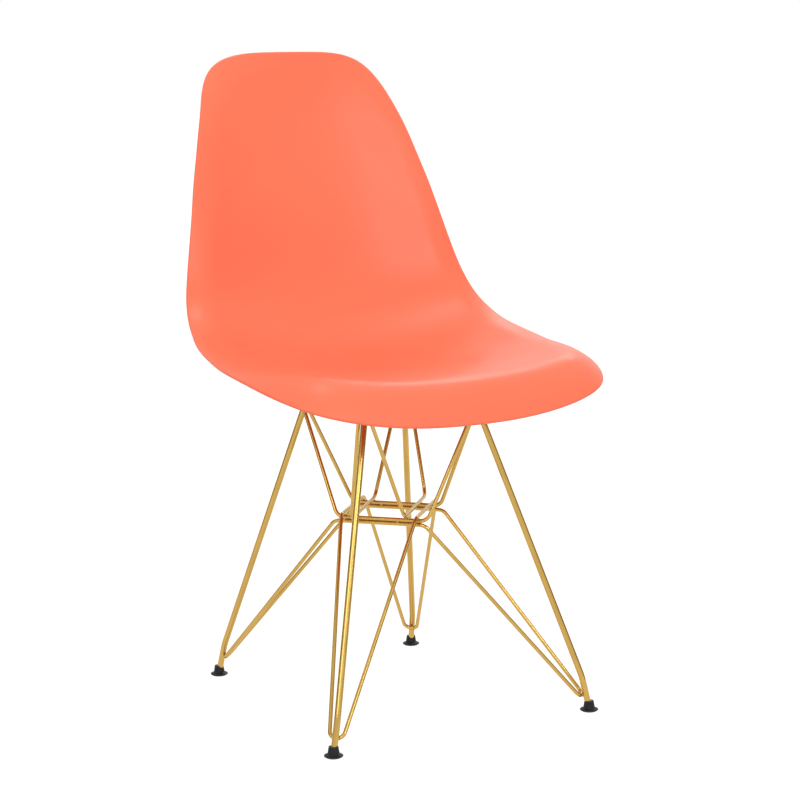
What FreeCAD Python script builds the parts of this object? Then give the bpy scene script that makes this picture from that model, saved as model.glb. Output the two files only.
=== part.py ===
import FreeCAD, Part
import math
import os

import Sketcher
from FreeCAD import Placement, Rotation, Vector

# A moulded plastic side chair on a bent wire base.
# Millimetres, +Z up, floor at z = 0, the sitter faces -Y, +X is the chair's left as the sitter sees it.

DRIVING_SIZES = {
    # Steel rod of the legs and wire of the bracing
    "rod_diameter": 8.0,
    "wire_diameter": 5.0,
    "weld_gap": 0.1,
    # Each side of the base is one rod: foot, knee, shoulder under the seat, and down again
    "front_foot_half": 178.4,
    "front_foot_setback": -211.8,
    "front_knee_half": 170.4,
    "front_knee_setback": -207.8,
    "front_top_half": 73.6,
    "front_top_setback": -109.3,
    "rear_foot_half": 145.6,
    "rear_foot_setback": 179.9,
    "rear_knee_half": 142.0,
    "rear_knee_setback": 168.6,
    "rear_top_half": 66.5,
    "rear_top_setback": 50.0,
    "knee_height": 44.0,
    "top_rod_height": 396.0,
    "knee_bend": 60.0,
    "shoulder_bend": 14.0,
    # Bracing loops, which cross as a small diamond half way up
    "diamond_centre": -29.1,
    "diamond_height": 235.7,
    "side_corner_half": 72.8,
    "side_corner_lead": 8.9,
    "end_corner_half": 6.1,
    "end_corner_reach": 78.8,
    "inner_side_half": 74.6,
    "inner_side_lead": 39.3,
    "inner_end_half": 15.3,
    "inner_end_reach": 66.6,
    "side_slide": 3.5,
    "corner_bend": 14.0,
    "foot_hairpin_bend": 9.5,
    "front_hairpin_height": 21.0,
    "rear_hairpin_height": 29.0,
    # Hooks at the tops of the legs: how far below the top rods, how far past the leg and to one
    # side of it they reach, and how much tighter than the leg they are bent
    "outer_front_hook_drop": 15.5,
    "outer_front_hook_slack": 2.6,
    "outer_front_hook_aside": 0.15,
    "outer_rear_hook_drop": 25.0,
    "outer_rear_hook_slack": 8.1,
    "outer_rear_hook_aside": 1.9,
    "outer_hook_pinch": 1.1,
    "inner_front_hook_drop": 23.5,
    "inner_front_hook_slack": 0.85,
    "inner_front_hook_aside": -0.35,
    "inner_rear_hook_drop": 23.5,
    "inner_rear_hook_slack": 0.3,
    "inner_rear_hook_aside": 0.0,
    "inner_hook_pinch": 0.0,
    # Glides pushed on the feet
    "glide_height": 13.0,
    "glide_disc_diameter": 24.6,
    "glide_sole_diameter": 18.0,
    "glide_edge_height": 2.2,
    "glide_disc_rise": 4.6,
    "glide_neck_diameter": 14.4,
    "glide_cup_diameter": 11.6,
    "glide_floor": 4.0,
    # Mounting of the shell
    "rail_inset": 8.0,
    "tab_length": 30.0,
    "tab_width": 28.0,
    "tab_thickness": 3.0,
    "tab_corner": 5.0,
    "mount_inset": 14.0,
    "mount_offset": 10.5,
    "spacer_thickness": 9.0,
    "spacer_diameter": 28.0,
    "spacer_collar_diameter": 20.0,
    "boss_diameter": 28.0,
    "boss_root_diameter": 36.0,
    "boss_rise": 40.0,
    "screw_diameter": 6.0,
    "screw_clearance": 0.3,
    "screw_head_diameter": 11.0,
    "screw_head_height": 4.0,
    "screw_socket": 4.0,
    "screw_socket_depth": 2.4,
    "insert_diameter": 9.0,
    "insert_flange_diameter": 11.5,
    "insert_flange": 1.2,
    "insert_length": 9.0,
    "fit_gap": 0.05,
    "washer_diameter": 12.4,
    "washer_thickness": 1.5,
    # Shell: its wall, its dish, and how the outline closes at its ends. A higher corner power
    # keeps the sides straight for longer, and a higher crown power makes the end flatter.
    "shell_wall": 5.0,
    "rim_overhang": 12.0,
    "dish_power": 2.2,
    "front_corner": 68.6,
    "front_corner_power": 4.3,
    "front_crown_power": 3.2,
    "top_corner": 124.8,
    "top_corner_power": 2.3,
    "top_crown_power": 3.6,
}

# Stations of the shell from the front lip to the top edge, along its middle line:
# setback of the middle line and its rise above the base's top rods, half width of the outline,
# how far the sides stand above the middle line, how far the rim rolls back, and how wide that
# roll is.
STATION_SIZES = ("setback", "rise", "half_width", "dish", "roll", "band")
STATIONS = {
    "lip": (-247.8, 23.2, 168.4, 16.6, 39.2, 62.0),
    "crest": (-186.7, 32.5, 215.1, 23.5, 34.8, 56.0),
    "thigh": (-110.4, 31.5, 233.9, 28.8, 22.1, 50.0),
    "seat": (-12.3, 26.3, 230.6, 42.3, 17.5, 46.0),
    "hip": (80.2, 43.4, 217.9, 49.4, 17.4, 43.0),
    "lumbar": (142.5, 103.5, 202.2, 43.7, 16.3, 40.0),
    "back": (182.9, 228.4, 171.7, 35.2, 9.0, 36.0),
    "shoulder": (216.4, 345.7, 145.1, 25.6, 7.0, 32.0),
    "top": (222.1, 414.5, 172.6, -7.6, 6.0, 30.0),
}

SIDES = {"left": -1.0, "right": 1.0}
ACROSS_COUNT = 29
ALONG_COUNT = 37
OUTLINE_COUNT = 400
RIM_COUNT = 120
ROUND_COUNT = 8
CUT_COUNT = 17

doc = FreeCAD.newDocument("chair")
sheet = doc.addObject("Spreadsheet::Sheet", "Sizes")


def fill_sheet():
    """One row for each driving size: a word in column A, its number in column B."""
    rows = list(DRIVING_SIZES.items())
    for station, values in STATIONS.items():
        for kind, value in zip(STATION_SIZES, values):
            rows.append((station + "_" + kind, value))
    for row, (name, value) in enumerate(rows, start=1):
        sheet.set("A%d" % row, name.replace("_", " "))
        sheet.set("B%d" % row, str(value))
        sheet.setAlias("B%d" % row, name)
    doc.recompute()


def size(name):
    """A driving size, read from the sheet."""
    return float(sheet.get(name))


def bind(target, **expressions):
    """Ties properties of a document object to the sheet."""
    for name, expression in expressions.items():
        target.setExpression(name, expression)


def named(thing, label):
    """Gives a finished piece the name that its file takes."""
    thing.Label = label
    pieces[label] = thing
    return thing


pieces = {}
fill_sheet()

rod_radius = size("rod_diameter") / 2
wire_radius = size("wire_diameter") / 2


# Bent rods and wires

def straight_run(label, start, finish, diameter):
    """A round bar between two points."""
    run = doc.addObject("Part::Cylinder", label)
    bind(run, Radius="Sizes." + diameter + " / 2")
    run.Height = (finish - start).Length
    run.Placement = Placement(start, Rotation(Vector(0, 0, 1), finish - start))
    return run


def corner_reach(before, corner, after, radius):
    """How far from a corner its bend starts."""
    half = (before - corner).getAngle(after - corner) / 2
    return radius / math.tan(half)


def rounded_corner(label, before, corner, after, radius, diameter):
    """The bent bar that rounds a corner, and the two points where it meets the straight runs."""
    back = (before - corner).normalize()
    ahead = (after - corner).normalize()
    half = back.getAngle(ahead) / 2
    reach = corner_reach(before, corner, after, radius)
    centre = corner + (back + ahead).normalize() * (radius / math.sin(half))
    first = corner + back * reach
    last = corner + ahead * reach
    outward = (first - centre).normalize()
    axis = (first - centre).cross(last - centre).normalize()
    bend = doc.addObject("Part::Torus", label)
    bend.Radius1 = radius
    bind(bend, Radius2="Sizes." + diameter + " / 2")
    bend.Angle3 = 180 - math.degrees(2 * half)
    bend.Placement = Placement(centre, Rotation(outward, axis.cross(outward), axis, "ZXY"))
    return first, bend, last


def bent_rod(label, points, bends, diameter, closed=False):
    """Straight bars joined by tangent bends into one solid, open or closed."""
    count = len(points)
    if closed:
        start = (points[0] + points[1]) / 2
        corners = list(range(1, count)) + [0]
    else:
        start = points[0]
        corners = list(range(1, count - 1))
    finish = start if closed else points[-1]
    parts = []
    for index in corners:
        name = "%s_%d" % (label, index)
        before = points[index - 1]
        after = points[(index + 1) % count]
        first, bend, last = rounded_corner(name + "_bend", before, points[index], after, bends[index], diameter)
        parts.append(straight_run(name + "_run", start, first, diameter))
        parts.append(bend)
        start = last
    parts.append(straight_run(label + "_last_run", start, finish, diameter))
    rod = doc.addObject("Part::MultiFuse", label + "_rod")
    rod.Shapes = parts
    doc.recompute()
    whole = sum(part.Shape.Volume for part in parts)
    if len(rod.Shape.Solids) != 1 or abs(rod.Shape.Volume / whole - 1) > 0.0005:
        raise ValueError("%s is not one whole rod: %.1f of %.1f" % (label, rod.Shape.Volume, whole))
    return rod


def leg_points(side, end):
    """Foot, knee and shoulder of the leg at one corner of the base."""
    names = ("foot", "knee", "top")
    heights = (size("glide_floor") + size("fit_gap"), size("knee_height"), size("top_rod_height"))
    return [
        Vector(side * size(end + "_" + name + "_half"), size(end + "_" + name + "_setback"), height)
        for name, height in zip(names, heights)
    ]


def point_at_height(low, high, height):
    """The point of a straight run at a height."""
    return low + (high - low) * ((height - low.z) / (high.z - low.z))


def side_rod(label, side):
    """One rod makes the front and the rear leg of a side, joined under the seat."""
    front = leg_points(side, "front")
    rear = leg_points(side, "rear")
    knee = size("knee_bend")
    shoulder = size("shoulder_bend")
    points = front + rear[::-1]
    return named(bent_rod(label, points, [0, knee, shoulder, shoulder, knee, 0], "rod_diameter"), label)


for side_name, side in SIDES.items():
    side_rod("leg_rod_" + side_name, side)


# Wire loops of the bracing

def hairpin_apex(centre, radius, first, second):
    """Where two arms would meet that run from two corners and wrap a circle between them."""
    normal = (first - centre).cross(second - centre).normalize()
    touches = []
    for corner, turn in ((first, -1), (second, 1)):
        arm = corner - centre
        along = Vector(arm).normalize()
        across = normal.cross(along)
        lean = math.acos(radius / arm.Length)
        touches.append((along * math.cos(lean) + across * (turn * math.sin(lean))) * radius)
    spread = radius ** 2 + touches[0].dot(touches[1])
    return centre + (touches[0] + touches[1]) * (radius ** 2 / spread)


def foot_hairpin(side, end, first, second):
    """A loop's end at a foot: its bend is welded to the inner face of the leg."""
    foot, knee, _ = leg_points(side, end)
    touch = point_at_height(foot, knee, size(end + "_hairpin_height"))
    axis = (knee - foot).normalize()
    goal = (first + second) / 2 - touch
    inward = (goal - axis * goal.dot(axis)).normalize()
    reach = rod_radius + wire_radius + size("weld_gap")
    bottom = touch + inward * reach
    towards = ((first + second) / 2 - bottom).normalize()
    radius = size("foot_hairpin_bend")
    return hairpin_apex(bottom + towards * radius, radius, first, second), radius


def leg_hook(side, end, loop, first, second):
    """A loop's end at the top of a leg: hooked round the outside of the leg, and welded to it."""
    hook = "%s_%s_hook_" % (loop, end)
    _, knee, top = leg_points(side, end)
    crossing = point_at_height(knee, top, top.z - size(hook + "drop"))
    axis = (top - knee).normalize()
    towards = ((first + second) / 2 - crossing).normalize()
    slant = axis.cross(towards).Length
    sideways = second - first
    sideways = (sideways - towards * sideways.dot(towards)).normalize()
    radius = rod_radius + wire_radius + size("weld_gap") - size(loop + "_hook_pinch")
    beyond = radius / slant - radius + size(hook + "slack")
    centre = crossing - towards * beyond + sideways * size(hook + "aside")
    return hairpin_apex(centre, radius, first, second), radius


def layer(number):
    """Height of a layer of wire in the diamond, counted from its lowest."""
    return size("diamond_height") + number * (size("wire_diameter") + size("weld_gap"))


def diamond_corners(hand, number):
    """Four corners of a loop: left or right side, front end, opposite side, rear end."""
    middle = size("diamond_centre")
    side_half = size("side_corner_half") * hand
    side_lead = size("side_corner_lead")
    end_half = size("end_corner_half") * hand
    end_reach = size("end_corner_reach")
    level = layer(number)
    return (
        Vector(-side_half, middle + side_lead, level),
        Vector(end_half, middle - end_reach, level),
        Vector(side_half, middle - side_lead, level),
        Vector(-end_half, middle + end_reach, level),
    )


def inner_corners(number):
    """Corners of the narrow upper loop, which lies inside the sides of the lower one."""
    middle = size("diamond_centre")
    side_half = size("inner_side_half")
    side_lead = size("inner_side_lead")
    end_half = size("inner_end_half")
    end_reach = size("inner_end_reach")
    level = layer(number)
    return (
        Vector(side_half, middle + side_lead, level),
        Vector(-end_half, middle - end_reach, level),
        Vector(-side_half, middle - side_lead, level),
        Vector(end_half, middle + end_reach, level),
    )


def wire_loop(label, corners, front_end, rear_end):
    """A closed loop: side run, front end, back across, and the rear end."""
    near_side, front, far_side, rear = corners
    points = [near_side, front, front_end[0], far_side, rear, rear_end[0]]
    bend = size("corner_bend")
    bends = [bend, bend, front_end[1], bend, bend, rear_end[1]]
    return named(bent_rod(label, points, bends, "wire_diameter", closed=True), label)


def lower_loop(label, hand, number):
    """A loop from a front foot up to the diamond and down to the opposite rear foot."""
    corners = diamond_corners(hand, number)
    near_side, front, far_side, rear = corners
    front_end = foot_hairpin(hand, "front", front, far_side)
    rear_end = foot_hairpin(-hand, "rear", rear, near_side)
    return wire_loop(label, corners, front_end, rear_end)


def upper_loop(label, loop, corners, hand):
    """A loop from a front leg's top down to the diamond and up to the opposite rear leg."""
    near_side, front, far_side, rear = corners
    front_end = leg_hook(hand, "front", loop, front, far_side)
    rear_end = leg_hook(-hand, "rear", loop, rear, near_side)
    return wire_loop(label, corners, front_end, rear_end)


def slid_corners(corners):
    """The upper loop lies on the sides of the lower one, slid a little along each of them."""
    near_side, front, far_side, rear = corners
    slide = (front - near_side).normalize() * size("side_slide")
    return near_side + slide, front + slide, far_side - slide, rear - slide


lower_loop("lower_wire_loop_1", 1, 0)
upper_loop("upper_wire_loop_1", "outer", slid_corners(diamond_corners(1, 1)), 1)
lower_loop("lower_wire_loop_2", -1, 2)
upper_loop("upper_wire_loop_2", "inner", inner_corners(2), -1)


# Turned pieces

def origin_plane(body, role):
    """One of a body's own origin planes."""
    return [plane for plane in body.Origin.OriginFeatures if plane.Role == role][0]


def turned_body(label, profile):
    """A body of revolution. Its profile is a list of radius and height expressions, None for zero."""
    body = doc.addObject("PartDesign::Body", label)
    sketch = body.newObject("Sketcher::SketchObject", label + "_profile")
    sketch.AttachmentSupport = (origin_plane(body, "XZ_Plane"), [""])
    sketch.MapMode = "FlatFace"
    values = []
    for across, up in profile:
        values.append(Vector(evaluate(across), evaluate(up), 0))
    count = len(values)
    for index in range(count):
        sketch.addGeometry(Part.LineSegment(values[index], values[(index + 1) % count]), False)
    for index in range(count):
        sketch.addConstraint(Sketcher.Constraint("Coincident", index, 2, (index + 1) % count, 1))
    for index, (across, up) in enumerate(profile):
        if across is None:
            sketch.addConstraint(Sketcher.Constraint("PointOnObject", index, 1, -2))
        else:
            place_vertex(sketch, "DistanceX", index, values[index].x, across)
        if up is None:
            sketch.addConstraint(Sketcher.Constraint("PointOnObject", index, 1, -1))
        else:
            place_vertex(sketch, "DistanceY", index, values[index].y, up)
    turning = body.newObject("PartDesign::Revolution", label + "_turning")
    turning.Profile = sketch
    turning.ReferenceAxis = (sketch, ["V_Axis"])
    turning.Angle = 360
    doc.recompute()
    return body


def evaluate(expression):
    """The present value of an expression on the sheet."""
    if expression is None:
        return 0.0
    return float(sheet.evalExpression(expression.replace("Sizes.", "")))


def place_vertex(sketch, kind, index, value, expression):
    """Ties one coordinate of a profile's corner to the sheet."""
    number = sketch.addConstraint(Sketcher.Constraint(kind, -1, 1, index, 1, value))
    sketch.setExpression("Constraints[%d]" % number, expression)


def upright_cylinder(label, diameter, height, place):
    """A standing cylinder whose diameter and height are expressions."""
    cylinder = doc.addObject("Part::Cylinder", label)
    bind(cylinder, Radius="(" + diameter + ") / 2", Height=height)
    cylinder.Placement.Base = place
    return cylinder


def foot_glide(label, side, end):
    """A black push-on cap: a saucer with a cup, bored along the leg that enters it."""
    foot, knee, _ = leg_points(side, end)
    turning = turned_body(label + "_turning", [
        (None, None),
        ("Sizes.glide_sole_diameter / 2", None),
        ("Sizes.glide_disc_diameter / 2", "Sizes.glide_edge_height"),
        ("Sizes.glide_neck_diameter / 2", "Sizes.glide_disc_rise"),
        ("Sizes.glide_cup_diameter / 2", "Sizes.glide_height"),
        (None, "Sizes.glide_height"),
    ])
    round_edges(turning, label)
    turning.Placement.Base = Vector(foot.x, foot.y, 0)
    bore = doc.addObject("Part::Cylinder", label + "_bore")
    bind(bore, Radius="Sizes.rod_diameter / 2 + Sizes.fit_gap", Height="Sizes.glide_height * 2")
    axis = (knee - foot).normalize()
    bore.Placement = Placement(foot - axis * size("fit_gap"), Rotation(Vector(0, 0, 1), axis))
    cap = doc.addObject("Part::Cut", label + "_cap")
    cap.Base = turning
    cap.Tool = bore
    return named(cap, label)


def round_edges(body, label):
    """Rounds the rim of the saucer and the foot of the cup, which are found by their radius."""
    turning = body.Tip
    rims = [size("glide_disc_diameter") / 2, size("glide_neck_diameter") / 2, size("glide_sole_diameter") / 2]
    found = []
    for number, edge in enumerate(turning.Shape.Edges, start=1):
        curve = edge.Curve
        if isinstance(curve, Part.Circle) and min(abs(curve.Radius - rim) for rim in rims) < 0.01:
            found.append("Edge%d" % number)
    rounding = body.newObject("PartDesign::Fillet", label + "_rounding")
    rounding.Base = (turning, found)
    bind(rounding, Radius="Sizes.glide_edge_height * 0.4")
    doc.recompute()


for side_name, side in SIDES.items():
    for end in ("front", "rear"):
        foot_glide("foot_glide_" + end + "_" + side_name, side, end)


# Top rails, mounting tabs and fasteners

def hoop_point(side, setback):
    """The middle of the side rod's run under the seat, at a setback."""
    front = leg_points(side, "front")[2]
    rear = leg_points(side, "rear")[2]
    return front + (rear - front) * ((setback - front.y) / (rear.y - front.y))


def rail_setback(end):
    """Where the cross rail of an end lies, just inside the shoulders of the side rods."""
    if end == "front":
        return size("front_top_setback") + size("rail_inset")
    return size("rear_top_setback") - size("rail_inset")


def mount_point(side, end):
    """Centre of a mounting hole, at the top of the rods."""
    inward = 1 if end == "front" else -1
    setback = rail_setback(end) + inward * size("mount_offset")
    rod = hoop_point(side, setback)
    return Vector(rod.x - side * size("mount_inset"), setback, rod.z + rod_radius)


def cross_rail(label, end):
    """A short rod welded between the two side rods."""
    reach = hoop_point(1, rail_setback(end))
    half = reach.x - rod_radius - size("weld_gap")
    rail = doc.addObject("Part::Cylinder", label + "_rod")
    bind(rail, Radius="Sizes.rod_diameter / 2")
    rail.Height = 2 * half
    rail.Placement = Placement(Vector(-half, reach.y, reach.z), Rotation(Vector(0, 1, 0), 90))
    return named(rail, label)


def mounting_tab(label, side, end):
    """A flat steel tab on top of the rods, with rounded corners and the screw's hole."""
    body = doc.addObject("PartDesign::Body", label + "_plate")
    sketch = body.newObject("Sketcher::SketchObject", label + "_outline")
    sketch.AttachmentSupport = (origin_plane(body, "XY_Plane"), [""])
    sketch.MapMode = "FlatFace"
    half_length = size("tab_length") / 2
    half_width = size("tab_width") / 2
    corners = [
        Vector(-half_length, -half_width, 0),
        Vector(half_length, -half_width, 0),
        Vector(half_length, half_width, 0),
        Vector(-half_length, half_width, 0),
    ]
    for index in range(4):
        sketch.addGeometry(Part.LineSegment(corners[index], corners[(index + 1) % 4]), False)
        sketch.addConstraint(Sketcher.Constraint("Horizontal" if index % 2 == 0 else "Vertical", index))
    for index in range(4):
        sketch.addConstraint(Sketcher.Constraint("Coincident", index, 2, (index + 1) % 4, 1))
    sketch.addConstraint(Sketcher.Constraint("Symmetric", 0, 1, 1, 2, -1, 1))
    length = sketch.addConstraint(Sketcher.Constraint("DistanceX", 0, 1, 0, 2, 2 * half_length))
    width = sketch.addConstraint(Sketcher.Constraint("DistanceY", 1, 1, 1, 2, 2 * half_width))
    sketch.setExpression("Constraints[%d]" % length, "Sizes.tab_length")
    sketch.setExpression("Constraints[%d]" % width, "Sizes.tab_width")
    plate = body.newObject("PartDesign::Pad", label + "_pad")
    plate.Profile = sketch
    bind(plate, Length="Sizes.tab_thickness")
    doc.recompute()
    upright = []
    for number, edge in enumerate(plate.Shape.Edges, start=1):
        if abs(edge.tangentAt(edge.FirstParameter).z) > 0.99:
            upright.append("Edge%d" % number)
    rounding = body.newObject("PartDesign::Fillet", label + "_rounding")
    rounding.Base = (plate, upright)
    bind(rounding, Radius="Sizes.tab_corner")
    drilling = body.newObject("Sketcher::SketchObject", label + "_hole")
    drilling.AttachmentSupport = (origin_plane(body, "XY_Plane"), [""])
    drilling.MapMode = "FlatFace"
    drilling.addGeometry(Part.Circle(Vector(0, 0, 0), Vector(0, 0, 1), size("screw_diameter") / 2), False)
    drilling.addConstraint(Sketcher.Constraint("Coincident", 0, 3, -1, 1))
    bore = drilling.addConstraint(Sketcher.Constraint("Radius", 0, size("screw_diameter") / 2))
    drilling.setExpression("Constraints[%d]" % bore, "Sizes.screw_diameter / 2 + Sizes.screw_clearance")
    doc.recompute()
    before = rounding.Shape.Volume
    hole = body.newObject("PartDesign::Pocket", label + "_pocket")
    hole.Profile = drilling
    hole.Type = "ThroughAll"
    hole.Midplane = True
    doc.recompute()
    if hole.Shape.Volume >= before:
        raise ValueError(label + " has no hole")
    place = mount_point(side, end)
    body.Placement.Base = place + Vector(0, 0, size("weld_gap"))
    return named(body, label)


def stack_height(*names):
    """Height above the tops of the rods after some layers of the mounting."""
    return size("weld_gap") + sum(size(name) for name in names)


def mount_spacer(label, side, end):
    """A black plastic spacer between a tab and a boss of the shell."""
    body = turned_body(label + "_turning", [
        ("Sizes.screw_diameter / 2 + Sizes.screw_clearance", None),
        ("Sizes.spacer_diameter / 2", None),
        ("Sizes.spacer_diameter / 2", "Sizes.spacer_thickness * 0.45"),
        ("Sizes.spacer_collar_diameter / 2", "Sizes.spacer_thickness"),
        ("Sizes.screw_diameter / 2 + Sizes.screw_clearance", "Sizes.spacer_thickness"),
    ])
    rise = stack_height("tab_thickness")
    body.Placement.Base = mount_point(side, end) + Vector(0, 0, rise)
    return named(body, label)


def mount_screw(label, side, end):
    """A domed screw with a hexagon socket, driven up from below."""
    drop = size("washer_thickness") - size("weld_gap")
    shank = "Sizes.washer_thickness + Sizes.tab_thickness + Sizes.spacer_thickness + Sizes.insert_length * 0.85"
    body = turned_body(label, [
        (None, "-Sizes.screw_head_height"),
        ("Sizes.screw_head_diameter * 0.3", "-Sizes.screw_head_height"),
        ("Sizes.screw_head_diameter / 2", "-Sizes.screw_head_height * 0.4"),
        ("Sizes.screw_head_diameter / 2", None),
        ("Sizes.screw_diameter / 2", None),
        ("Sizes.screw_diameter / 2", shank),
        (None, shank),
    ])
    body.Placement.Base = mount_point(side, end) - Vector(0, 0, drop)
    key = doc.addObject("Part::Prism", label + "_key")
    key.Polygon = 6
    bind(key, Circumradius="Sizes.screw_socket / sqrt(3)", Height="Sizes.screw_socket_depth + 1")
    key.Placement.Base = mount_point(side, end) - Vector(0, 0, drop + size("screw_head_height") + 1)
    screw = doc.addObject("Part::Cut", label + "_piece")
    screw.Base = body
    screw.Tool = key
    return screw


def screw_washer(label, side, end):
    """A flat washer under the screw's head."""
    place = mount_point(side, end) - Vector(0, 0, size("washer_thickness") - size("weld_gap"))
    disc = upright_cylinder(label + "_disc", "Sizes.washer_diameter", "Sizes.washer_thickness", place)
    hole = upright_cylinder(
        label + "_hole", "Sizes.screw_diameter + 2 * Sizes.screw_clearance", "Sizes.washer_thickness", place)
    washer = doc.addObject("Part::Cut", label)
    washer.Base = disc
    washer.Tool = hole
    return washer


def threaded_insert(label, side, end):
    """A flanged metal insert moulded into a boss."""
    body = turned_body(label, [
        ("Sizes.screw_diameter / 2 + Sizes.fit_gap", None),
        ("Sizes.insert_flange_diameter / 2", None),
        ("Sizes.insert_flange_diameter / 2", "Sizes.insert_flange"),
        ("Sizes.insert_diameter / 2", "Sizes.insert_flange"),
        ("Sizes.insert_diameter / 2", "Sizes.insert_length"),
        ("Sizes.screw_diameter / 2 + Sizes.fit_gap", "Sizes.insert_length"),
    ])
    rise = stack_height("tab_thickness", "spacer_thickness")
    body.Placement.Base = mount_point(side, end) + Vector(0, 0, rise)
    return body


def group_of_four(label, maker):
    """The same fastener at each of the four mounts, kept as separate solids."""
    copies = []
    for side_name, side in SIDES.items():
        for end in ("front", "rear"):
            copies.append(maker("_".join((label, end, side_name)), side, end))
    group = doc.addObject("Part::Compound", label + "_group")
    group.Links = copies
    return named(group, label)


for end in ("front", "rear"):
    cross_rail("cross_rail_" + end, end)
for side_name, side in SIDES.items():
    for end in ("front", "rear"):
        mounting_tab("mounting_tab_" + end + "_" + side_name, side, end)
        mount_spacer("mount_spacer_" + end + "_" + side_name, side, end)
group_of_four("mounting_screws", mount_screw)
group_of_four("screw_washers", screw_washer)
group_of_four("threaded_inserts", threaded_insert)


# Moulded shell

def station_values(kind):
    """One size at every station, from the lip to the top."""
    return [size(station + "_" + kind) for station in STATIONS]


def smooth(values, share):
    """A smooth value through evenly spaced stations, at a share of the way from 0 to 1."""
    last = len(values) - 1
    place = min(max(share, 0.0), 1.0) * last
    index = min(int(place), last - 1)
    part = place - index
    here = values[index]
    there = values[index + 1]
    leave = station_slope(values, index)
    arrive = station_slope(values, index + 1)
    square = part * part
    cube = square * part
    return (
        (2 * cube - 3 * square + 1) * here
        + (cube - 2 * square + part) * leave
        + (3 * square - 2 * cube) * there
        + (cube - square) * arrive
    )


def station_slope(values, index):
    """Slope at a station, from its neighbours. The ends go on as the curve bends."""
    last = len(values) - 1
    if index == 0:
        return 2 * (values[1] - values[0]) - station_slope(values, 1)
    if index == last:
        return 2 * (values[last] - values[last - 1]) - station_slope(values, last - 1)
    return (values[index + 1] - values[index - 1]) / 2


class Shell:
    """The sitter's side of the shell as one smooth surface, with its outline."""

    STEP_COUNT = 400
    HALVING_COUNT = 24

    def __init__(self):
        self.table = {kind: station_values(kind) for kind in STATION_SIZES}
        self.table["height"] = [size("top_rod_height") + rise for rise in self.table["rise"]]
        self.length = 0.0
        self.lengths = [0.0]
        before = self.middle(0.0)
        for step in range(1, self.STEP_COUNT + 1):
            point = self.middle(step / self.STEP_COUNT)
            self.lengths.append(self.lengths[-1] + (point - before).Length)
            before = point
        self.length = self.lengths[-1]
        self.rim = self.outline()

    def value(self, kind, share):
        return smooth(self.table[kind], share)

    def middle(self, share):
        """A point of the middle line. It runs on straight past both ends."""
        inside = min(max(share, 0.0), 1.0)
        point = Vector(0, self.value("setback", inside), self.value("height", inside))
        return point + self.direction(inside) * ((share - inside) * self.length)

    def direction(self, share):
        step = 0.001
        low = max(share - step, 0.0)
        high = min(share + step, 1.0)
        run = Vector(
            0,
            self.value("setback", high) - self.value("setback", low),
            self.value("height", high) - self.value("height", low),
        )
        return run.normalize()

    def travel(self, share):
        """Length of the middle line from the lip to a share."""
        if share <= 0:
            return share * self.length
        if share >= 1:
            return share * self.length
        place = share * self.STEP_COUNT
        index = min(int(place), self.STEP_COUNT - 1)
        part = place - index
        return self.lengths[index] * (1 - part) + self.lengths[index + 1] * part

    def half_width(self, travel, share):
        """Half width of the outline, drawn in at the rounded front and top corners."""
        wide = self.value("half_width", share)
        front = min(max((size("front_corner") - travel) / size("front_corner"), 0.0), 1.0)
        top = min(max((travel - self.length) / size("top_corner") + 1, 0.0), 1.0)
        wide *= max(1 - front ** size("front_corner_power"), 0.0) ** (1 / size("front_crown_power"))
        wide *= max(1 - top ** size("top_corner_power"), 0.0) ** (1 / size("top_crown_power"))
        return wide

    def outline(self):
        """Half of the outline as across, along and share, denser near both ends."""
        points = []
        for step in range(OUTLINE_COUNT + 1):
            swing = math.pi * step / OUTLINE_COUNT
            travel = self.length * (1 - math.cos(swing)) / 2
            share = self.share_at(travel)
            points.append((self.half_width(travel, share), travel, share))
        return points

    def share_at(self, travel):
        """The share of the way along at a length of the middle line."""
        low, high = 0, self.STEP_COUNT
        while high - low > 1:
            half = (low + high) // 2
            if self.lengths[half] <= travel:
                low = half
            else:
                high = half
        span = self.lengths[high] - self.lengths[low]
        return (low + min(max((travel - self.lengths[low]) / span, 0.0), 1.0)) / self.STEP_COUNT

    def share_at_setback(self, setback):
        """The share of the way along at which the middle line passes a setback."""
        low, high = 0.0, 1.0
        for _ in range(self.HALVING_COUNT):
            half = (low + high) / 2
            if self.value("setback", half) < setback:
                low = half
            else:
                high = half
        return low

    def depth_inside(self, across, travel):
        """Distance from the outline, on the flattened sheet. It is negative outside."""
        best = None
        for (wide_a, run_a, _), (wide_b, run_b, _) in zip(self.rim, self.rim[1:]):
            edge_across = wide_b - wide_a
            edge_along = run_b - run_a
            span = edge_across ** 2 + edge_along ** 2
            if span < 1e-12:
                continue
            part = ((across - wide_a) * edge_across + (travel - run_a) * edge_along) / span
            part = min(max(part, 0.0), 1.0)
            gap_across = across - wide_a - part * edge_across
            gap_along = travel - run_a - part * edge_along
            gap = math.hypot(gap_across, gap_along)
            if best is None or gap < best[0]:
                outward = gap_across * edge_along - gap_along * edge_across
                best = (gap, outward)
        gap, outward = best
        return -gap if outward > 0 else gap

    def point(self, across, share, inside=None):
        """A point of the surface at a distance from the middle line."""
        travel = self.travel(share)
        within = min(max(share, 0.0), 1.0)
        if inside is None:
            inside = self.depth_inside(abs(across), travel)
        run = self.direction(within)
        normal = Vector(0, -run.z, run.y)
        lift = self.value("dish", within) * (abs(across) / self.value("half_width", within)) ** size("dish_power")
        fall = max(1 - inside / self.value("band", within), 0.0)
        lift -= self.value("roll", within) * fall ** 2
        return self.middle(share) + Vector(across, 0, 0) + normal * lift


def spread(count, low, high, crowd):
    """Places from low to high that stand closer together near both ends."""
    places = []
    for step in range(count):
        even = 2 * step / (count - 1) - 1
        bent = even * (1 - crowd) + math.sin(even * math.pi / 2) * crowd
        places.append(low + (high - low) * (bent + 1) / 2)
    return places


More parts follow.
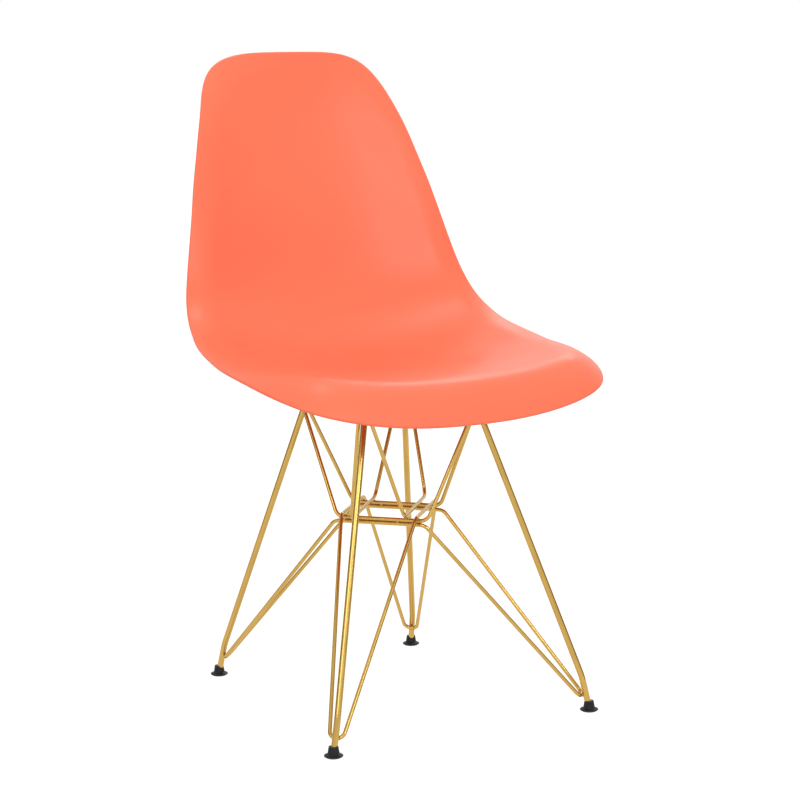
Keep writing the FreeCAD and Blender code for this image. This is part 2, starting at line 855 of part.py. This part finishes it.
def shell_surface(shell, overhang):
    """The sitter's side: a smooth surface through a grid that reaches a little past the outline."""
    beyond = overhang / shell.length
    rows = []
    for share in spread(ALONG_COUNT, -beyond, 1 + beyond, 0.55):
        within = min(max(share, 0.0), 1.0)
        reach = shell.value("half_width", within) + overhang
        rows.append([shell.point(across, share) for across in spread(ACROSS_COUNT, -reach, reach, 0.7)])
    surface = Part.BSplineSurface()
    surface.interpolate(rows)
    return surface, rows


def sitter_normal(surface, point):
    """The direction from the sheet to the sitter, at a point of it."""
    normal = surface.normal(*surface.parameter(point))
    return normal if normal.dot(Vector(0, -0.5, 1)) > 0 else -normal


def surface_behind(surface, rows, depth):
    """A surface that lies behind another one, away from the sitter."""
    moved = [[point - sitter_normal(surface, point) * depth for point in row] for row in rows]
    behind = Part.BSplineSurface()
    behind.interpolate(moved)
    return behind


def outline_points(shell, surface):
    """The outline in space, evenly spaced: from the left hip by the front to the right hip and the top."""
    fine = [shell.point(across, share, 0.0) for across, _, share in shell.rim]
    runs = [0.0]
    for before, after in zip(fine, fine[1:]):
        runs.append(runs[-1] + (after - before).Length)
    right = []
    index = 1
    for step in range(RIM_COUNT // 2 + 1):
        goal = runs[-1] * step / (RIM_COUNT // 2)
        while index < len(runs) - 1 and runs[index] < goal:
            index += 1
        part = (goal - runs[index - 1]) / (runs[index] - runs[index - 1])
        right.append(fine[index - 1] + (fine[index] - fine[index - 1]) * part)
    left = [Vector(-point.x, point.y, point.z) for point in right[-2:0:-1]]
    ring = [surface.value(*surface.parameter(point)) for point in right + left]
    hip = RIM_COUNT * 3 // 4
    return ring[hip:] + ring[:hip]


def rim_sections(ring, surface, wall):
    """Half circles round the edge of the wall, one at each point of the outline."""
    sections = []
    count = len(ring)
    for index, point in enumerate(ring):
        normal = sitter_normal(surface, point)
        along = ring[(index + 1) % count] - ring[index - 1]
        outward = along.cross(normal).normalize()
        middle = point - normal * (wall / 2)
        section = []
        for step in range(ROUND_COUNT + 1):
            swing = math.pi * step / ROUND_COUNT
            section.append(middle + (normal * math.cos(swing) + outward * math.sin(swing)) * (wall / 2))
        sections.append(section)
    return sections


def curve_edge(points):
    """A smooth edge through points."""
    curve = Part.BSplineCurve()
    curve.interpolate(points)
    return curve.toShape()


def face_within(surface, edges):
    """The part of a surface inside a ring of edges, which it shares with its neighbours."""
    face = Part.Face(surface, Part.Wire(edges))
    face.validate()
    return face


def rim_strips(halves, front, back):
    """Faces of the wall: both sides of it and the narrow strips that round its edge."""
    steps = range(0, ROUND_COUNT + 1, 2)
    rings = [[curve_edge([section[step] for section in half]) for step in steps] for half in halves]
    ends = []
    for section in (halves[0][0], halves[0][-1]):
        ends.append([curve_edge(section[step:step + 3]) for step in steps[:-1]])
    faces = [
        face_within(front, [rings[0][0], rings[1][0]]),
        face_within(back, [rings[0][-1], rings[1][-1]]),
    ]
    for half, ring in zip(halves, rings):
        for number, step in enumerate(steps[:-1]):
            strip = Part.BSplineSurface()
            strip.interpolate([section[step:step + 3] for section in half])
            edges = [ring[number], ends[0][number], ring[number + 1], ends[1][number]]
            faces.append(face_within(strip, Part.__sortEdges__(edges)))
    return faces


def moulded_wall(shell):
    """The shell's wall: the sitter's side, the back and a round rim, joined into one solid."""
    wall = size("shell_wall")
    front, rows = shell_surface(shell, size("rim_overhang"))
    back = surface_behind(front, rows, wall)
    sections = rim_sections(outline_points(shell, front), front, wall)
    half = len(sections) // 2
    halves = [sections[:half + 1], sections[half:] + sections[:1]]
    skin = Part.Compound(rim_strips(halves, front, back))
    skin.sewShape()
    solid = Part.Solid(skin.Shells[0])
    if solid.Volume < 0:
        solid.reverse()
    return solid


def under_wall(shell):
    """A solid that fills the space from the middle of the wall upward, to cut the bosses with."""
    front = mount_point(1, "front")
    rear = mount_point(1, "rear")
    margin = size("boss_root_diameter")
    reach = max(front.x, rear.x) + margin
    shares = shell.share_at_setback(front.y - margin), shell.share_at_setback(rear.y + margin)
    rows = []
    for share in spread(CUT_COUNT, *shares, 0):
        row = [shell.point(across, share) for across in spread(CUT_COUNT, -reach, reach, 0)]
        rows.append([point - Vector(0, 0, size("shell_wall") / 2) for point in row])
    sheet_above = Part.BSplineSurface()
    sheet_above.interpolate(rows)
    return sheet_above.toShape().extrude(Vector(0, 0, size("boss_rise") * 2))


def boss(label, side, end):
    """A moulded boss that comes down from the shell to a spacer, flared where it meets the wall."""
    foot = mount_point(side, end) + Vector(0, 0, stack_height("tab_thickness", "spacer_thickness"))
    post = doc.addObject("Part::Cone", label)
    bind(
        post,
        Radius1="Sizes.boss_diameter / 2",
        Radius2="Sizes.boss_root_diameter / 2",
        Height="Sizes.boss_rise",
    )
    post.Placement.Base = foot
    return post


def insert_seat(label, side, end):
    """The stepped hole of a boss that holds its threaded insert."""
    body = turned_body(label, [
        (None, None),
        ("Sizes.insert_flange_diameter / 2 + Sizes.fit_gap", None),
        ("Sizes.insert_flange_diameter / 2 + Sizes.fit_gap", "Sizes.insert_flange + Sizes.fit_gap"),
        ("Sizes.insert_diameter / 2 + Sizes.fit_gap", "Sizes.insert_flange + Sizes.fit_gap"),
        ("Sizes.insert_diameter / 2 + Sizes.fit_gap", "Sizes.insert_length + Sizes.fit_gap"),
        (None, "Sizes.insert_length + Sizes.fit_gap"),
    ])
    body.Placement.Base = mount_point(side, end) + Vector(0, 0, stack_height("tab_thickness", "spacer_thickness"))
    return body


def seat_shell(label):
    """The wall with its four bosses, bored for the inserts."""
    shell = Shell()
    wall = doc.addObject("Part::Feature", "moulded_wall")
    wall.Shape = moulded_wall(shell)
    space = doc.addObject("Part::Feature", "space_above_bosses")
    space.Shape = under_wall(shell)
    posts = doc.addObject("Part::Compound", "bosses_uncut")
    seats = doc.addObject("Part::Compound", "insert_seats")
    places = [(side_name, side, end) for side_name, side in SIDES.items() for end in ("front", "rear")]
    posts.Links = [boss("boss_%s_%s" % (end, name), side, end) for name, side, end in places]
    seats.Links = [insert_seat("insert_seat_%s_%s" % (end, name), side, end) for name, side, end in places]
    doc.recompute()
    bosses = doc.addObject("Part::Cut", "bosses")
    bosses.Base = posts
    bosses.Tool = space
    joined = doc.addObject("Part::Fuse", "wall_with_bosses")
    joined.Base = wall
    joined.Tool = bosses
    bored = doc.addObject("Part::Cut", "bored_shell")
    bored.Base = joined
    bored.Tool = seats
    return named(bored, label)


seat_shell("seat_shell")


# Checks and files

def check_and_write():
    """Every object must be sound before any file is written."""
    doc.recompute()
    for thing in doc.Objects:
        if "Invalid" in thing.State or "Error" in thing.State:
            raise ValueError("%s did not build" % thing.Label)
    for label, piece in pieces.items():
        if piece.Shape.isNull() or not piece.Shape.isValid() or not piece.Shape.Solids:
            raise ValueError("%s is not a sound solid" % label)
    os.makedirs("parts", exist_ok=True)
    for old in os.listdir("parts"):
        if old.endswith(".step"):
            os.remove(os.path.join("parts", old))
    for label, piece in pieces.items():
        piece.Shape.exportStep("parts/%s.step" % label)
        box = piece.Shape.BoundBox
        print("%-26s %d solid(s) z %.1f to %.1f" % (label, len(piece.Shape.Solids), box.ZMin, box.ZMax))


check_and_write()
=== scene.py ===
import math

import bmesh
import bpy
from mathutils import Matrix, Vector


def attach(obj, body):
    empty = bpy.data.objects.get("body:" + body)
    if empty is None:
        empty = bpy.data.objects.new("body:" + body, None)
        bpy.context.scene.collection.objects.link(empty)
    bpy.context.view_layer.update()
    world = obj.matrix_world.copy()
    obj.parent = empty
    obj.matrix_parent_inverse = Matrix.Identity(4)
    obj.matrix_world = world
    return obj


# A moulded plastic side chair on a gold-plated wire base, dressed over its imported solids.
# Metres, +Z up, floor at z = 0, the sitter faces -Y.

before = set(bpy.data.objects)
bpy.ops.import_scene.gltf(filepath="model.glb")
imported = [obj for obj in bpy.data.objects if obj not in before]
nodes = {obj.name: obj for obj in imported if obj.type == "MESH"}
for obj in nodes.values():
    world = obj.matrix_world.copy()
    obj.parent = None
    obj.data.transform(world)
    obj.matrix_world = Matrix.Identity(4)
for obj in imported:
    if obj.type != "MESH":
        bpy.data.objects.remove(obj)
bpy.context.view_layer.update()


# Wire base: the leg rods, the cross rails and tabs under the seat, and the four wire loops.
# It is bent steel, gold plated after welding. The polish is uneven and the bars are a little
# wavy, so that reflections swim along them.

GOLD_DEEP = (0.52, 0.33, 0.085)
GOLD_PALE = (0.58, 0.37, 0.10)
GOLD_TONE_SCALE = 30.0
GOLD_ROUGHNESS = (0.19, 0.25)
GOLD_POLISH_SCALE = 60.0
GOLD_WAVES = {"Scale": 70.0, "Height": 0.00002, "Strength": 0.3}
BARE_METAL = 1.0
# Noise keeps mostly to the middle of its range, and this part of it is spread to the full range
CLOUD_SPAN = (0.3, 0.7)
CLOUD_DETAIL = 4.0
GRAIN_DETAIL = 3.0


def new_group(name, inputs, outputs):
    """An empty shader group with float inputs and outputs of the given kinds."""
    group = bpy.data.node_groups.new(name, "ShaderNodeTree")
    for label, default in inputs.items():
        socket = group.interface.new_socket(label, in_out="INPUT", socket_type="NodeSocketFloat")
        socket.default_value = default
    for label, kind in outputs.items():
        group.interface.new_socket(label, in_out="OUTPUT", socket_type=kind)
    return group, group.nodes.new("NodeGroupInput"), group.nodes.new("NodeGroupOutput")


def surface_noise(group, entry, detail):
    """Noise in the piece's own space, at the group's scale in cells per metre."""
    coordinate = group.nodes.new("ShaderNodeTexCoord")
    noise = group.nodes.new("ShaderNodeTexNoise")
    noise.inputs["Detail"].default_value = detail
    group.links.new(coordinate.outputs["Object"], noise.inputs["Vector"])
    group.links.new(entry.outputs["Scale"], noise.inputs["Scale"])
    return noise.outputs["Fac"]


def make_grain_group():
    """A moulded skin, or the waves of a drawn bar: a bump normal from noise."""
    group, entry, leave = new_group(
        "fine_grain",
        {"Scale": 900.0, "Height": 0.00004, "Strength": 0.4},
        {"Normal": "NodeSocketVector"},
    )
    bump = group.nodes.new("ShaderNodeBump")
    group.links.new(surface_noise(group, entry, GRAIN_DETAIL), bump.inputs["Height"])
    group.links.new(entry.outputs["Height"], bump.inputs["Distance"])
    group.links.new(entry.outputs["Strength"], bump.inputs["Strength"])
    group.links.new(bump.outputs["Normal"], leave.inputs["Normal"])
    return group


def make_range_group():
    """A slow, cloudy change between two values, as of handling and uneven polish."""
    group, entry, leave = new_group(
        "cloudy_range",
        {"Scale": 12.0, "Low": 0.3, "High": 0.4},
        {"Value": "NodeSocketFloat"},
    )
    spread = group.nodes.new("ShaderNodeMapRange")
    spread.inputs["From Min"].default_value = CLOUD_SPAN[0]
    spread.inputs["From Max"].default_value = CLOUD_SPAN[1]
    group.links.new(surface_noise(group, entry, CLOUD_DETAIL), spread.inputs["Value"])
    group.links.new(entry.outputs["Low"], spread.inputs["To Min"])
    group.links.new(entry.outputs["High"], spread.inputs["To Max"])
    group.links.new(spread.outputs["Result"], leave.inputs["Value"])
    return group


grain_group = make_grain_group()
range_group = make_range_group()


def grouped(tree, group, **values):
    """A group node whose named inputs are set."""
    node = tree.nodes.new("ShaderNodeGroup")
    node.node_tree = group
    for label, value in values.items():
        node.inputs[label].default_value = value
    return node


def new_material(name):
    """A material with its Principled shader."""
    material = bpy.data.materials.new(name)
    material.use_nodes = True
    return material, material.node_tree, material.node_tree.nodes["Principled BSDF"]


def cloud_colour(tree, shader, scale, first, second):
    """Lets the base colour drift between two colours."""
    clouds = grouped(tree, range_group, Scale=scale, Low=0.0, High=1.0)
    mix = tree.nodes.new("ShaderNodeMix")
    mix.data_type = "RGBA"
    mix.inputs["A"].default_value = (*first, 1)
    mix.inputs["B"].default_value = (*second, 1)
    tree.links.new(clouds.outputs["Value"], mix.inputs["Factor"])
    tree.links.new(mix.outputs["Result"], shader.inputs["Base Color"])


def cloud_roughness(tree, shader, scale, span):
    """Lets the roughness drift over a span."""
    clouds = grouped(tree, range_group, Scale=scale, Low=span[0], High=span[1])
    tree.links.new(clouds.outputs["Value"], shader.inputs["Roughness"])


def add_grain(tree, shader, grain):
    """Puts a fine grain on the surface."""
    bumps = grouped(tree, grain_group, **grain)
    tree.links.new(bumps.outputs["Normal"], shader.inputs["Normal"])


def dress(node_names, material):
    """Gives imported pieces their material."""
    for name in node_names:
        mesh = nodes[name].data
        mesh.materials.clear()
        mesh.materials.append(material)


gold, tree, shader = new_material("gold_plated_steel")
shader.inputs["Metallic"].default_value = BARE_METAL
cloud_colour(tree, shader, GOLD_TONE_SCALE, GOLD_DEEP, GOLD_PALE)
cloud_roughness(tree, shader, GOLD_POLISH_SCALE, GOLD_ROUGHNESS)
add_grain(tree, shader, GOLD_WAVES)
base_nodes = [name for name in nodes if name.startswith(("leg_rod", "cross_rail", "mounting_tab"))]
base_nodes += [name for name in nodes if "wire_loop" in name]
dress(base_nodes, gold)


# Welds: small beads that hold the wires to the rods and to each other. They are plated with the
# base, and are duller and browner than the bars. The places, in millimetres, were measured on
# the solids where two bars meet.

WELD_DEEP = (0.40, 0.24, 0.07)
WELD_PALE = (0.52, 0.33, 0.09)
WELD_SCORCH_SCALE = 500.0
WELD_ROUGHNESS = 0.34
WELD_RADIUS = 0.0024
WELD_SUBDIVISIONS = 3
MILLIMETRES_PER_METRE = 1000
HOOKS_ON_LEGS = (
    (-69.6, 61.7, 372.1), (-78.3, -117.7, 380.9),
    (80.6, -111.1, 384.2), (70.8, 59.2, 381.2),
)
HAIRPINS_ON_LEGS = (
    (-140.7, 170.0, 27.9), (-172.3, -207.3, 20.3),
    (172.3, -207.3, 20.2), (140.7, 170.0, 27.9),
)
RAILS_ON_RODS = (
    (-69.1, -98.9, 395.8), (-62.9, 39.6, 396.0),
    (69.1, -98.9, 395.7), (62.8, 42.5, 395.7),
)
UPPER_CROSSINGS = (
    (-52.7, -42.6, 243.4), (52.7, -15.6, 243.4),
    (-10.1, -89.6, 243.4), (10.1, 31.3, 243.4),
)
DIAMOND_CORNERS = (
    (64.9, -29.3, 243.4), (-64.9, -28.9, 243.4),
    (0.0, -101.1, 243.4), (0.0, 42.9, 243.4),
)
WIRES_SIDE_BY_SIDE = (
    (64.3, -28.5, 238.2), (-64.3, -29.7, 238.2),
    (17.5, 23.5, 238.3), (-17.5, -81.7, 238.3),
)
WELD_GROUPS = (
    HOOKS_ON_LEGS, HAIRPINS_ON_LEGS, RAILS_ON_RODS,
    UPPER_CROSSINGS, DIAMOND_CORNERS, WIRES_SIDE_BY_SIDE,
)

weld_gold, tree, shader = new_material("weld_gold")
shader.inputs["Metallic"].default_value = BARE_METAL
cloud_colour(tree, shader, WELD_SCORCH_SCALE, WELD_DEEP, WELD_PALE)
shader.inputs["Roughness"].default_value = WELD_ROUGHNESS


def weld_beads():
    """One mesh of small round drops, each in the crease between two bars."""
    drops = bmesh.new()
    for places in WELD_GROUPS:
        for place in places:
            bmesh.ops.create_icosphere(
                drops,
                subdivisions=WELD_SUBDIVISIONS,
                radius=WELD_RADIUS,
                matrix=Matrix.Translation(Vector(place) / MILLIMETRES_PER_METRE),
            )
    mesh = bpy.data.meshes.new("weld_beads")
    drops.to_mesh(mesh)
    drops.free()
    mesh.shade_smooth()
    mesh.materials.append(weld_gold)
    beads = bpy.data.objects.new("weld_beads", mesh)
    bpy.context.scene.collection.objects.link(beads)
    return beads


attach(weld_beads(), "root")


# Foot glides and mount spacers: moulded in black polyethylene, with a dull skin. The glides are
# pushed on the feet, and the spacers sit between the tabs and the shell.

BLACK_DEEP = (0.006, 0.006, 0.006)
BLACK_PALE = (0.012, 0.012, 0.012)
BLACK_SCUFF_SCALE = 90.0
BLACK_ROUGHNESS = (0.38, 0.55)
BLACK_DULLNESS_SCALE = 120.0
BLACK_SPECULAR = 0.25
BLACK_SKIN = {"Scale": 2600.0, "Height": 0.00004, "Strength": 0.3}

black, tree, shader = new_material("black_polyethylene")
cloud_colour(tree, shader, BLACK_SCUFF_SCALE, BLACK_DEEP, BLACK_PALE)
cloud_roughness(tree, shader, BLACK_DULLNESS_SCALE, BLACK_ROUGHNESS)
shader.inputs["Specular IOR Level"].default_value = BLACK_SPECULAR
add_grain(tree, shader, BLACK_SKIN)
dress([name for name in nodes if name.startswith(("foot_glide", "mount_spacer"))], black)


# Seat shell: one moulding of coral polypropylene, satin and a little translucent. It has a fine
# moulded grain and faint clouds in its gloss, and its colour hardly varies. Four screws hold it
# to the base.

CORAL_DEEP = (0.98, 0.182, 0.090)
CORAL_PALE = (0.99, 0.192, 0.097)
CORAL_CLOUD_SCALE = 5.0
SHELL_ROUGHNESS = (0.36, 0.42)
SHELL_GLOSS_SCALE = 14.0
SHELL_GRAIN = {"Scale": 1500.0, "Height": 0.00003, "Strength": 0.35}
POLYPROPYLENE_IOR = 1.49
SHELL_SPECULAR = 0.3
SHELL_TRANSLUCENCE = 0.12
SHELL_GLOW_RADIUS = (1.0, 0.3, 0.2)
SHELL_GLOW_DEPTH = 0.004

plastic, tree, shader = new_material("coral_polypropylene")
cloud_colour(tree, shader, CORAL_CLOUD_SCALE, CORAL_DEEP, CORAL_PALE)
cloud_roughness(tree, shader, SHELL_GLOSS_SCALE, SHELL_ROUGHNESS)
add_grain(tree, shader, SHELL_GRAIN)
shader.inputs["IOR"].default_value = POLYPROPYLENE_IOR
shader.inputs["Specular IOR Level"].default_value = SHELL_SPECULAR
shader.inputs["Subsurface Weight"].default_value = SHELL_TRANSLUCENCE
shader.inputs["Subsurface Radius"].default_value = SHELL_GLOW_RADIUS
shader.inputs["Subsurface Scale"].default_value = SHELL_GLOW_DEPTH
dress(["seat_shell"], plastic)


# Screws and washers: steel, plated in black zinc, a little rubbed. They come up through the tabs
# and spacers and hold the shell down.

ZINC_DEEP = (0.05, 0.05, 0.055)
ZINC_PALE = (0.09, 0.09, 0.1)
ZINC_RUB_SCALE = 300.0
ZINC_ROUGHNESS = (0.32, 0.45)
ZINC_MATTE_SCALE = 200.0

zinc, tree, shader = new_material("black_zinc")
shader.inputs["Metallic"].default_value = BARE_METAL
cloud_colour(tree, shader, ZINC_RUB_SCALE, ZINC_DEEP, ZINC_PALE)
cloud_roughness(tree, shader, ZINC_MATTE_SCALE, ZINC_ROUGHNESS)
dress(["mounting_screws", "screw_washers"], zinc)


# Threaded inserts: turned brass, moulded into the shell's bosses, where the screws bite. No side
# of the finished chair shows them.

BRASS_DEEP = (0.62, 0.44, 0.18)
BRASS_PALE = (0.7, 0.52, 0.25)
BRASS_TURNING_SCALE = 400.0
BRASS_ROUGHNESS = 0.3

brass, tree, shader = new_material("turned_brass")
shader.inputs["Metallic"].default_value = BARE_METAL
cloud_colour(tree, shader, BRASS_TURNING_SCALE, BRASS_DEEP, BRASS_PALE)
shader.inputs["Roughness"].default_value = BRASS_ROUGHNESS
dress(["threaded_inserts"], brass)


# White room: what the camera and the metal see is white all round, and what lights the chair is
# dimmer. The floor is a paper sheet that keeps a faint shadow.

ROOM_LIGHT = 0.64
ROOM_SEEN = 1.0
FLOOR_SIZE = 60
FLOOR_LIGHT = 0.48
FLOOR_SEEN = 0.93
WHITE = (1, 1, 1, 1)
PAPER = (0.25, 0.25, 0.25, 1)
MATTE_ROUGHNESS = 0.9


def emission_for_rays(tree, lit_strength, seen_strength):
    """One strength for the light given, and another for the camera, reflections and glass."""
    path = tree.nodes.new("ShaderNodeLightPath")
    seen = path.outputs["Is Camera Ray"]
    for ray in ("Is Glossy Ray", "Is Transmission Ray"):
        either = tree.nodes.new("ShaderNodeMath")
        either.operation = "MAXIMUM"
        tree.links.new(seen, either.inputs[0])
        tree.links.new(path.outputs[ray], either.inputs[1])
        seen = either.outputs[0]
    pick = tree.nodes.new("ShaderNodeMapRange")
    pick.inputs["To Min"].default_value = lit_strength
    pick.inputs["To Max"].default_value = seen_strength
    tree.links.new(seen, pick.inputs["Value"])
    return pick.outputs["Result"]


world = bpy.data.worlds.new("studio")
bpy.context.scene.world = world
world.use_nodes = True
tree = world.node_tree
background = tree.nodes["Background"]
background.inputs["Color"].default_value = WHITE
tree.links.new(emission_for_rays(tree, ROOM_LIGHT, ROOM_SEEN), background.inputs["Strength"])

bpy.ops.mesh.primitive_plane_add(size=FLOOR_SIZE)
floor = bpy.context.object
floor.name = "floor"
paper, tree, shader = new_material("white_paper")
shader.inputs["Base Color"].default_value = PAPER
shader.inputs["Roughness"].default_value = MATTE_ROUGHNESS
shader.inputs["Specular IOR Level"].default_value = 0.0
shader.inputs["Emission Color"].default_value = WHITE
tree.links.new(emission_for_rays(tree, FLOOR_LIGHT, FLOOR_SEEN), shader.inputs["Emission Strength"])
floor.data.materials.append(paper)


# Lamps: four softboxes, each with its place, width and height in metres, and power in watts.
# They all point at the middle of the chair.

CHAIR_MIDDLE = Vector((0, 0, 0.5))
SOFTBOXES = {
    "key": ((-2.2, -1.9, 1.9), 1.4, 1.4, 19),
    "front": ((0.0, -3.0, 2.05), 0.8, 0.8, 24),
    "top": ((0.1, 0.0, 3.0), 0.7, 0.7, 12),
    "back": ((2.0, 2.1, 2.2), 1.0, 0.8, 8),
}


def softbox(name, place, width, height, watts):
    """A rectangular lamp that points at the chair."""
    lamp = bpy.data.lights.new(name, "AREA")
    lamp.shape = "RECTANGLE"
    lamp.size = width
    lamp.size_y = height
    lamp.energy = watts
    holder = bpy.data.objects.new(name, lamp)
    bpy.context.scene.collection.objects.link(holder)
    holder.location = place
    holder.rotation_mode = "QUATERNION"
    holder.rotation_quaternion = (CHAIR_MIDDLE - Vector(place)).to_track_quat("-Z", "Y")


for name, (place, width, height, watts) in SOFTBOXES.items():
    softbox(name, place, width, height, watts)


# Dark cards: two boards of dark cloth beside the chair, which only polished metal shows. They
# give the bars the dark edges that they have in a real studio.

CARD_CLOTH = (0.03, 0.03, 0.03, 1)
CARD_WIDTH = 1.6
CARD_HEIGHT = 2.4
CARD_PLACES = {
    "card_right": (2.6, -1.45, 0.9),
    "card_left": (-2.6, 1.45, 0.9),
}

card_cloth, tree, shader = new_material("dark_cloth")
shader.inputs["Base Color"].default_value = CARD_CLOTH
shader.inputs["Roughness"].default_value = MATTE_ROUGHNESS


def dark_card(name, place):
    """An upright board that faces the chair."""
    bpy.ops.mesh.primitive_plane_add(size=1)
    card = bpy.context.object
    card.name = name
    card.scale = (CARD_WIDTH, CARD_HEIGHT, 1)
    card.location = place
    card.rotation_mode = "QUATERNION"
    card.rotation_quaternion = (Vector((0, 0, place[2])) - Vector(place)).to_track_quat("Z", "Y")
    card.visible_camera = False
    card.visible_diffuse = False
    card.visible_shadow = False
    card.data.materials.append(card_cloth)


for name, place in CARD_PLACES.items():
    dark_card(name, place)


# Camera: where the photograph was taken from, fitted to the feet, the wires and the shell's
# outline. The principal point is the picture's middle.

CAMERA_PLACE = Vector((-1.3107, -2.4250, 0.7991))
CAMERA_AZIMUTH = math.radians(-29.0)
CAMERA_ELEVATION = math.radians(8.69)
CAMERA_ROLL = math.radians(-0.758)
FOCAL_PIXELS = 2214.8
PHOTO_PIXELS = 800
SENSOR_WIDTH = 36
FAR_CLIP = 100


def photo_camera():
    """The photograph's camera, from its azimuth, elevation and roll."""
    back = Vector((
        math.sin(CAMERA_AZIMUTH) * math.cos(CAMERA_ELEVATION),
        -math.cos(CAMERA_AZIMUTH) * math.cos(CAMERA_ELEVATION),
        math.sin(CAMERA_ELEVATION),
    ))
    level = Vector((math.cos(CAMERA_AZIMUTH), math.sin(CAMERA_AZIMUTH), 0))
    upright = back.cross(level)
    right = level * math.cos(CAMERA_ROLL) + upright * math.sin(CAMERA_ROLL)
    up = upright * math.cos(CAMERA_ROLL) - level * math.sin(CAMERA_ROLL)
    data = bpy.data.cameras.new("camera")
    data.sensor_width = SENSOR_WIDTH
    data.lens = FOCAL_PIXELS / PHOTO_PIXELS * data.sensor_width
    data.clip_end = FAR_CLIP
    camera = bpy.data.objects.new("camera", data)
    bpy.context.scene.collection.objects.link(camera)
    turn = Matrix((right, up, back)).transposed().to_4x4()
    camera.matrix_world = Matrix.Translation(CAMERA_PLACE) @ turn
    return camera


bpy.context.scene.camera = photo_camera()
bpy.context.scene.view_settings.view_transform = "Standard"
